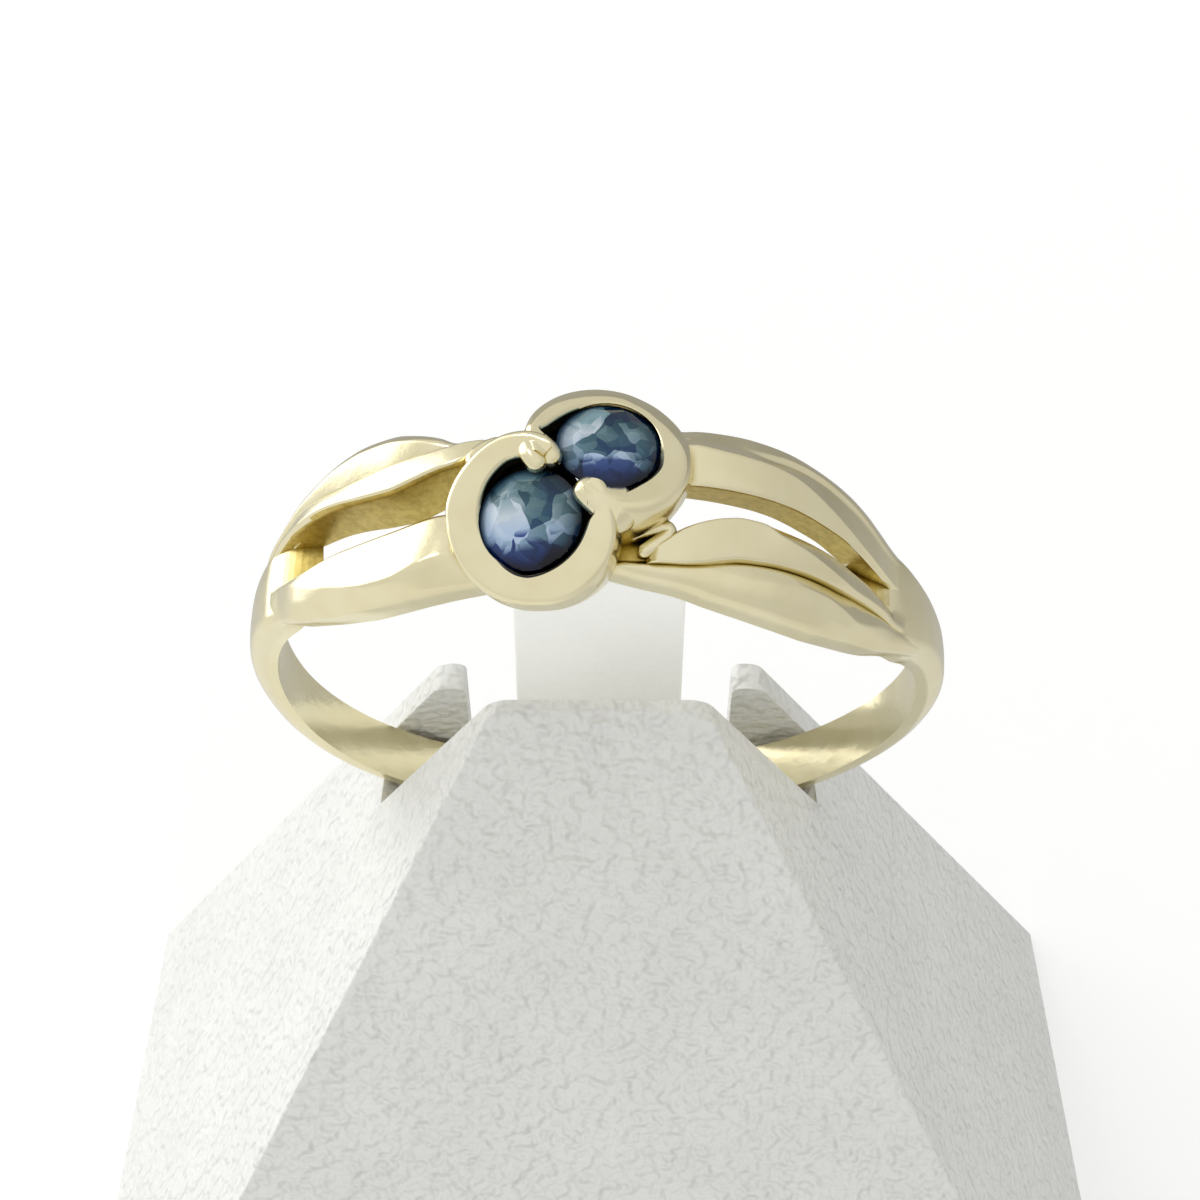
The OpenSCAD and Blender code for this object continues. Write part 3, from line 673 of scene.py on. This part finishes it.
# The right and the left half of the shoulders: turn about z, outer strand, inner strand and its
# undercut, single leaf and its rounding. An undercut is how far the foot lies under the slot's edge.
HALVES = [(0, OUTER, INNER, 0.14, SINGLE, SINGLE_ROUND),
          (180, REAR_OUTER, REAR_INNER, -0.16, FRONT_SINGLE, FRONT_ROUND)]
SINGLE_UNDERCUT = 0.38
# The inner strand's nose rounds off over these degrees towards this y
NOSE, NOSE_Y = 2.2, -1.6
# Opening between the stones, along and across the line through them and above their girdles
GAP_X, GAP_Y, GAP_Z = (-0.5, 0.5), (-0.6, 0.7), (-0.5, 1.5)
# Gap from a claw to a stone, and sides and reach each way of the finger hole's cutter
CLAW_GAP = 0.03
HOLE_SIDES, HOLE_REACH = 360, 6


def build_band():
    """The whole gold ring, marked where it is dull and where shade is painted, and set on the stand."""
    band = shank()
    for turn, outer, inner, undercut, single, single_round in HALVES:
        for piece in (
                leaf("outer", outer, 0.0, OUTER_ROUND),
                leaf("inner", inner, undercut, INNER_ROUND, wall=0, nose=NOSE, nose_y=NOSE_Y),
                leaf("single", single, SINGLE_UNDERCUT, single_round),
                leaf("web", WEB, 0.0, WEB_ROUND), hook()):
            piece.data.transform(turned("Z", turn))
            combine(band, piece, "UNION")
    for side in (-1, 1):
        combine(band, cup(side), "UNION")
    for side in (-1, 1):
        combine(band, room(side), "DIFFERENCE")
        combine(band, mouth_cut(side), "DIFFERENCE")
    corners = [(GAP_X[0], GAP_Y[0]), (GAP_X[1], GAP_Y[0]), (GAP_X[1], GAP_Y[1]), (GAP_X[0], GAP_Y[1])]
    gap = swept("gap", [[AT_WAIST @ Vector((x, y, STONE_H + z)) for x, y in corners] for z in GAP_Z])
    combine(band, gap, "DIFFERENCE")
    mark_dull_and_shade(band)
    for rows in (BROAD_CLAW, FRONT_CLAW, REAR_CLAW):
        claw = tube("claw", rows, AT_WAIST @ moved(0, 0, STONE_H))
        for side in (-1, 1):
            clear = hull("clear", stone_hull(CLAW_GAP), STONE_SHIFT @ at_stone(side))
            combine(claw, clear, "DIFFERENCE")
        combine(band, claw, "UNION")
    angles = [2 * math.pi * i / HOLE_SIDES for i in range(HOLE_SIDES)]
    hole = swept("hole", [[Vector((HOLE_R * math.cos(a), y, HOLE_R * math.sin(a))) for a in angles]
                          for y in (-HOLE_REACH, HOLE_REACH)])
    combine(band, hole, "DIFFERENCE")
    band.name = "gold_ring"
    return finished(band, ON_STAND, smooth=32)


# The stand. Rounding of its edges: ends of the ridge, other edges of the block, tops of the ears,
# their other edges, and the tongue's
RIDGE_ROUND, BLOCK_ROUND, EAR_TOP_ROUND, EAR_ROUND, TONGUE_ROUND = 0.45, 0.14, 0.34, 0.13, 0.12
# How far the cutters reach sideways, up and back, the top of the pocket's, and the slot's sides
WIDE, HIGH, DEEP, POCKET_TOP, SLOT_SIDES = 20, 40, 10, 22, 120
# How far the ears reach into the block, and the tongue's narrowing and round corners at the top
EAR_ROOT, TONGUE_TAPER, TONGUE_CORNER = 0.3, 0.15, 0.8
# Edges this near to a height are at it, and a cutter overlaps another by this much
NEAR = 0.01


def softened(obj, amount, chosen, segments=4):
    """Rounds those sharp edges of a piece that chosen says yes to."""
    bm = bmesh.new()
    bm.from_mesh(obj.data)
    edges = [e for e in bm.edges if len(e.link_faces) == 2
             and e.calc_face_angle(0) > math.radians(EDGE) and chosen(e)]
    bmesh.ops.bevel(bm, geom=edges, offset=amount, segments=segments, profile=0.5, affect="EDGES",
                    clamp_overlap=True)
    bm.to_mesh(obj.data)
    bm.free()


def lowest(edge):
    return min(v.co.z for v in edge.verts)


def highest(edge):
    return max(v.co.z for v in edge.verts)


def prism(name, outline, start, end):
    """An outline of x and z drawn out along y."""
    return swept(name, [[Vector((x, y, z)) for x, z in outline] for y in (start, end)])


def box(name, half_w, low, high, start, end):
    """A box as wide to the left as to the right, drawn out along y."""
    return prism(name, [(-half_w, low), (half_w, low), (half_w, high), (-half_w, high)], start, end)


def side_x(y, z):
    """Half width of the stand at a distance behind the ring's plane and a height."""
    flare = math.radians(SIDE_FLARE)
    lean = math.tan(math.radians(90 - SIDE_SLOPE)) / math.cos(flare)
    return BASE_HALF_W - math.tan(flare) * (y - BLOCK_BACK) - lean * z


def ear(side):
    """One of the two low walls behind the ring, from the notch to the stand's side."""
    rings = []
    for z in (EAR_FOOT - EAR_ROOT, EAR_H):
        corners = [(NOTCH_HALF_W, SLOT_BACK), (side_x(SLOT_BACK, z), SLOT_BACK),
                   (side_x(BLOCK_BACK, z), BLOCK_BACK), (NOTCH_HALF_W, BLOCK_BACK)]
        rings.append([Vector((side * x, y, z)) for x, y in corners])
    wall = swept("ear", rings)
    softened(wall, EAR_TOP_ROUND, lambda e: lowest(e) > EAR_H - NEAR
             and abs(e.verts[0].co.y - e.verts[1].co.y) > (BLOCK_BACK - SLOT_BACK) / 2, 8)
    softened(wall, EAR_ROUND, lambda e: highest(e) > EAR_FOOT)
    return wall


def stand_block():
    """The stand's wedge with its slot, notch, ears and the tongue's pocket."""
    profile = [(-FRONT_FOOT, 0), (-RIDGE_BACK, RIDGE_H), (BLOCK_BACK, RIDGE_H), (BLOCK_BACK, 0)]
    block = swept("display_stand", [[Vector((side * side_x(y, z), y, z)) for y, z in profile]
                                    for side in (-1, 1)])
    softened(block, RIDGE_ROUND, lambda e: lowest(e) > RIDGE_H - NEAR
             and e.verts[0].co.x * e.verts[1].co.x > 0, 6)
    softened(block, BLOCK_ROUND, lambda e: highest(e) > 1)
    angles = [math.radians(360 / SLOT_SIDES * i) for i in range(SLOT_SIDES)]
    slot = [(SLOT_R * math.cos(a), RING_AT[2] + SLOT_R * math.sin(a)) for a in angles]
    for cutter in (
            box("step", WIDE, EAR_H, HIGH, -SLOT_FRONT, DEEP),
            prism("slot", slot, -SLOT_FRONT, SLOT_BACK),
            box("notch", NOTCH_HALF_W, NOTCH_FLOOR, HIGH, SLOT_BACK - NEAR, DEEP),
            box("behind", WIDE, EAR_FOOT, HIGH, SLOT_BACK, DEEP),
            box("pocket", TONGUE_W / 2 + FOOT_GAP, TONGUE_FOOT - FOOT_GAP, POCKET_TOP,
                TONGUE_FRONT - FOOT_GAP, TONGUE_FRONT + TONGUE_T + FOOT_GAP)):
        combine(block, cutter, "DIFFERENCE")
    for side in (-1, 1):
        combine(block, ear(side), "UNION")
    return finished(block, moved(0, RING_AT[1], 0), smooth=30)


def stand_tongue():
    """The flat strip behind the ring, its top corners round."""
    outline = [(-TONGUE_W / 2, TONGUE_FOOT), (TONGUE_W / 2, TONGUE_FOOT)]
    half, r = TONGUE_W / 2 - TONGUE_TAPER / 2, TONGUE_CORNER
    for side, degrees in ((1, range(0, 100, 10)), (-1, range(90, -10, -10))):
        for a in map(math.radians, degrees):
            outline.append((side * (half - r * (1 - math.cos(a))), TONGUE_TOP - r * (1 - math.sin(a))))
    tongue = prism("ring_tongue", outline, TONGUE_FRONT, TONGUE_FRONT + TONGUE_T)
    softened(tongue, TONGUE_ROUND, lambda e: e.calc_face_angle(0) > math.radians(60))
    return finished(tongue, moved(0, RING_AT[1], 0), smooth=30)


# Materials. The scales of noise and cells are per metre, distances are in metres.
def feed(node, inputs):
    """Sets a node's inputs, each to a value or to the socket that feeds it."""
    for key, value in inputs.items():
        if isinstance(value, bpy.types.NodeSocket):
            node.id_data.links.new(value, node.inputs[key])
        else:
            node.inputs[key].default_value = value
    return node


def added(tree, kind, inputs=None, **settings):
    """A new shader node with some inputs and settings."""
    node = tree.nodes.new("ShaderNode" + kind)
    for key, value in settings.items():
        setattr(node, key, value)
    return feed(node, inputs or {})


def material(name):
    """A new material, its node tree and its shader."""
    mat = bpy.data.materials.new(name)
    mat.use_nodes = True
    return mat, mat.node_tree, mat.node_tree.nodes["Principled BSDF"]


def noise(tree, scale, at, **more):
    return added(tree, "TexNoise", {"Vector": at, "Scale": scale, **more})


def ramp(tree, source, stops):
    """Colours at places between 0 and 1 along a value."""
    node = added(tree, "ValToRGB", {"Fac": source})
    elements = node.color_ramp.elements
    while len(elements) < len(stops):
        elements.new(0.5)
    for element, (at, colour) in zip(elements, stops):
        element.position = at
        element.color = colour + (1,)
    return node.outputs["Color"]


def calculated(tree, operation, *values):
    """What a math node makes of numbers and sockets."""
    return added(tree, "Math", dict(enumerate(values)), operation=operation).outputs[0]


def vector(tree, operation, *values):
    """The outputs of a vector math node."""
    return added(tree, "VectorMath", dict(enumerate(values)), operation=operation).outputs


def multiplied(tree, first, second, share=1.0):
    """A colour, with a second one multiplied in by a share."""
    return added(tree, "Mix", {0: share, 6: first, 7: second}, data_type="RGBA",
                 blend_type="MULTIPLY").outputs[2]


def bumped(tree, shader, source, strength, distance):
    """Gives a shader bumps that are distance high at most."""
    bump = added(tree, "Bump", {"Strength": strength, "Distance": distance, "Height": source})
    feed(shader, {"Normal": bump.outputs["Normal"]})


def polished_gold():
    """Pale yellow gold, cast and polished, with dull olive metal and painted shade in the recesses."""
    mat, tree, shader = material("polished_gold")
    at = added(tree, "TexCoord").outputs["Object"]
    patches = noise(tree, 900, at, Detail=3).outputs["Fac"]
    tint = ramp(tree, patches, [(0.3, (0.83, 0.75, 0.49)), (0.7, (0.87, 0.80, 0.55))])
    # Olive patina and painted shade, down to near black, where little of the room is seen
    room_seen = added(tree, "AmbientOcclusion", {"Distance": 0.0004}, samples=8).outputs["AO"]
    patina_and_painted_shade = ramp(tree, room_seen, [(0.05, (0.01, 0.008, 0.004)), (0.28, (0.30, 0.24, 0.06)),
                                  (0.50, (0.72, 0.66, 0.42)), (0.72, (1.0, 1.0, 1.0))])
    # Metal as cast, with a mottled crust, and painted shade, black in the grooves round the stones, by the
    # mark on each face
    mark = added(tree, "Attribute", attribute_name="dull_and_shade").outputs["Fac"]
    dull_and_shade = calculated(tree, "MULTIPLY", mark, 0.5)
    cast_tone_and_shade = ramp(tree, dull_and_shade, [(0.0, (1.0, 1.0, 1.0)), (0.5, (0.76, 0.67, 0.33)), (1.0, (0.02, 0.02, 0.02))])
    crust = noise(tree, 4200, at, Detail=4, Roughness=0.7).outputs["Fac"]
    mottle = ramp(tree, crust, [(0.38, (0.55, 0.46, 0.20)), (0.58, (1.0, 0.95, 0.80))])
    colour = multiplied(tree, multiplied(tree, tint, patina_and_painted_shade), multiplied(tree, cast_tone_and_shade, mottle, dull_and_shade))
    polish = added(tree, "MapRange", {"Value": patches, "To Min": 0.14, "To Max": 0.25}).outputs["Result"]
    rough = calculated(tree, "MULTIPLY_ADD", dull_and_shade, 0.3, polish)
    feed(shader, {"Metallic": 1.0, "Base Color": colour, "Roughness": rough})
    marks = noise(tree, 1500, at, Detail=5, Roughness=0.6).outputs["Fac"]
    bumped(tree, shader, marks, 0.16, 0.00008)
    return mat


def sapphire():
    """Deep blue cut stone: painted reflections as pale and teal flashes in broken patches, and painted
    shade, navy at the front edge.
    """
    mat, tree, shader = material("sapphire")
    coords = added(tree, "TexCoord").outputs
    bend = noise(tree, 1500, coords["Object"], Detail=2).outputs["Color"]
    bent = vector(tree, "MULTIPLY_ADD", bend, (0.0003, 0.0003, 0.0003), coords["Object"])[0]

    def patches(scale, channel):
        """A value for each cell, the cells' sides bent by noise."""
        cells = added(tree, "TexVoronoi", {"Vector": bent, "Scale": scale}).outputs["Color"]
        return added(tree, "SeparateColor", {0: cells}).outputs[channel]

    def weighed(value, share, plus):
        return calculated(tree, "MULTIPLY_ADD", value, share, plus)

    # Painted reflections in large and small patches, and painted light that makes them brighter on the left
    whole = added(tree, "SeparateXYZ", {0: coords["Generated"]}).outputs
    level = weighed(patches(1120, 0), 0.54, 0.47)
    level = weighed(patches(2700, 1), 0.22, level)
    level = weighed(whole["X"], -0.42, level)
    tint = ramp(tree, level, [
        (0.14, (0.004, 0.015, 0.09)), (0.34, (0.012, 0.050, 0.11)), (0.47, (0.045, 0.115, 0.15)),
        (0.58, (0.14, 0.23, 0.26)), (0.68, (0.31, 0.40, 0.46)), (0.84, (0.56, 0.63, 0.70))])
    # Painted shade: navy along the front, with a ragged end, and darker teal at the back
    ragged = weighed(patches(2600, 2), 0.16, whole["Y"])
    edge = ramp(tree, ragged, [
        (0.16, (0.03, 0.07, 0.26)), (0.30, (0.07, 0.13, 0.36)), (0.36, (0.70, 0.82, 1.0)),
        (0.62, (1.0, 1.0, 1.0)), (0.84, (0.34, 0.50, 0.52))])
    # Painted shade, dark all round, by the distance from the middle as seen along the stone's height
    middle = vector(tree, "SUBTRACT", coords["Generated"], (0.5, 0.5, 0.5))[0]
    away = vector(tree, "LENGTH", vector(tree, "MULTIPLY", middle, (2.0, 2.0, 0.0))[0])["Value"]
    painted_rim_shade = ramp(tree, away, [(0.66, (1.0, 1.0, 1.0)), (0.84, (0.50, 0.58, 0.66)), (0.96, (0.06, 0.10, 0.16))])
    colour = multiplied(tree, multiplied(tree, tint, edge), painted_rim_shade)
    feed(shader, {"IOR": 1.76, "Specular IOR Level": 0.2, "Roughness": 0.03, "Base Color": colour})
    scratches = noise(tree, 5000, coords["Object"], Detail=2).outputs["Fac"]
    bumped(tree, shader, scratches, 0.05, 0.00002)
    return mat


def white_matte(name, dark, light, pebble, painted_glow=0.0):
    """Matte white plastic with a pebbled grain. A painted glow stands for light that comes through thin
    parts.
    """
    mat, tree, shader = material(name)
    at = added(tree, "TexCoord").outputs["Object"]
    cloud = noise(tree, 320, at, Detail=4).outputs["Fac"]
    tint = ramp(tree, cloud, [(0.3, dark), (0.7, light)])
    feed(shader, {"Base Color": tint, "Roughness": 0.6, "Emission Color": (1.0, 1.0, 0.98, 1),
                  "Emission Strength": painted_glow})
    grain = noise(tree, 2700, at, Detail=1, Roughness=0.4).outputs["Fac"]
    bumped(tree, shader, grain, pebble, 0.0005)
    return mat


# Pieces
def give(obj, mat, node):
    """Finishes a piece and lets it stand for a node of the frame."""
    obj.data.materials.clear()
    obj.data.materials.append(mat)
    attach(obj, "root")
    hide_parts(node)


give(build_band(), polished_gold(), "ring_band")
gem = sapphire()
for stone_side, node_name in ((-1, "front_sapphire"), (1, "rear_sapphire")):
    stone = hull("cut_" + node_name, stone_hull(), STONE_SHIFT @ at_stone(stone_side))
    give(finished(stone, ON_STAND), gem, node_name)

give(stand_block(), white_matte("pebbled_white", (0.84, 0.845, 0.82), (0.88, 0.885, 0.86), 0.65),
     "stand_block")
# The tongue's material has a painted glow for light through the thin strip
give(stand_tongue(), white_matte("smooth_white", (0.90, 0.905, 0.89), (0.93, 0.935, 0.92), 0.1, 0.18),
     "stand_tongue")

# Floor, light and camera. Half width of the floor in metres.
FLOOR = 1.5


def floor_material():
    """Pale paper, lit from below as on a light table. The ring's gold mirrors the room instead."""
    mat, tree, shader = material("pale_floor")
    feed(shader, {"Base Color": (0.90, 0.90, 0.90, 1), "Roughness": 0.9, "Specular IOR Level": 0.0,
                  "Emission Color": (1, 1, 1, 1), "Emission Strength": 0.21})
    straight = added(tree, "LightPath").outputs["Is Camera Ray"]
    clear = added(tree, "BsdfTransparent").outputs[0]
    shown = added(tree, "MixShader", {0: straight, 1: clear, 2: shader.outputs[0]})
    feed(tree.nodes["Material Output"], {"Surface": shown.outputs[0]})
    return mat


floor_mesh = bpy.data.meshes.new("floor")
floor_mesh.from_pydata([(-FLOOR, -FLOOR, 0), (FLOOR, -FLOOR, 0), (FLOOR, FLOOR, 0), (-FLOOR, FLOOR, 0)],
                       [], [(0, 1, 2, 3)])
floor_mesh.materials.append(floor_material())
new_object("floor", floor_mesh)

scene = bpy.context.scene
scene.view_settings.view_transform = "Standard"

# Brightness of the room: walls and table top from left to right, table top behind the ring,
# ceiling, window, and the backdrop that the camera sees
WALL_LEFT, WALL_RIGHT = 0.79, 0.65
TABLE_LEFT, TABLE_RIGHT, TABLE_BEHIND = 0.90, 0.72, 0.5
CEILING, WINDOW, BACKDROP = 0.84, 2.2, 0.95
# Where one passes into the next, by a direction's x, y or z
WALL_X, TABLE_X, TABLE_Y = (-0.6, 0.7), (-0.6, 0.6), (0.0, 0.75)
HORIZON_Z, CEILING_Z = (-0.10, 0.06), (0.35, 0.95)
WINDOW_X, WINDOW_Y = (-0.60, -0.48), (0.15, 0.28)
WINDOW_FOOT_Z, WINDOW_TOP_Z = (-0.60, -0.50), (0.45, 0.6)


def studio():
    """Soft light all round: brightest on the left, dim on the right, behind and below."""
    world = bpy.data.worlds.new("studio")
    world.use_nodes = True
    tree = world.node_tree
    coords = added(tree, "TexCoord").outputs["Generated"]
    direction = added(tree, "SeparateXYZ", {0: coords}).outputs

    def span(axis, edge, low=0.0, high=1.0):
        """Passes from low to high across an edge."""
        inputs = {"Value": direction[axis], "From Min": edge[0], "From Max": edge[1],
                  "To Min": low, "To Max": high}
        return added(tree, "MapRange", inputs, interpolation_type="SMOOTHSTEP").outputs["Result"]

    def mixed(share, first, second):
        return added(tree, "Mix", {0: share, 2: first, 3: second}, data_type="FLOAT").outputs[0]

    def times(first, second):
        return calculated(tree, "MULTIPLY", first, second)

    sky = mixed(span("Z", CEILING_Z), span("X", WALL_X, WALL_LEFT, WALL_RIGHT), CEILING)
    table = times(span("X", TABLE_X, TABLE_LEFT, TABLE_RIGHT), span("Y", TABLE_Y, 1.0, TABLE_BEHIND))
    glass = times(times(span("X", WINDOW_X, 1.0, 0.0), span("Y", WINDOW_Y)),
                  times(span("Z", WINDOW_FOOT_Z), span("Z", WINDOW_TOP_Z, 1.0, 0.0)))
    level = mixed(glass, mixed(span("Z", HORIZON_Z), table, sky), WINDOW)
    seen = mixed(added(tree, "LightPath").outputs["Is Camera Ray"], level, BACKDROP)
    feed(tree.nodes["Background"], {"Strength": seen, "Color": (1.0, 1.0, 0.985, 1)})
    return world


scene.world = studio()


# The key light's place, what it faces and its width in millimetres, and its power
KEY_AT, KEY_AIM, KEY_SIZE, KEY_POWER = (-190, 165, 340), (0, 8, 26), 50, 0.13
light = bpy.data.lights.new("key", "AREA")
light.size = KEY_SIZE * MM
light.energy = KEY_POWER
key = new_object("key", light)
key.location = Vector(KEY_AT) * MM
key.rotation_euler = (Vector(KEY_AIM) * MM - key.location).to_track_quat("-Z", "Y").to_euler()

# The camera looks down at the ring from in front: its place in millimetres and its tilt in degrees
EYE, EYE_TILT = (0.03, -25.37, 99.70), 25.91
camera = bpy.data.cameras.new("camera")
camera.lens = 90
camera.sensor_width = 36
camera.clip_start = 0.001
eye = new_object("camera", camera)
eye.location = Vector(EYE) * MM
eye.rotation_euler = (math.radians(EYE_TILT), 0, 0)
scene.camera = eye
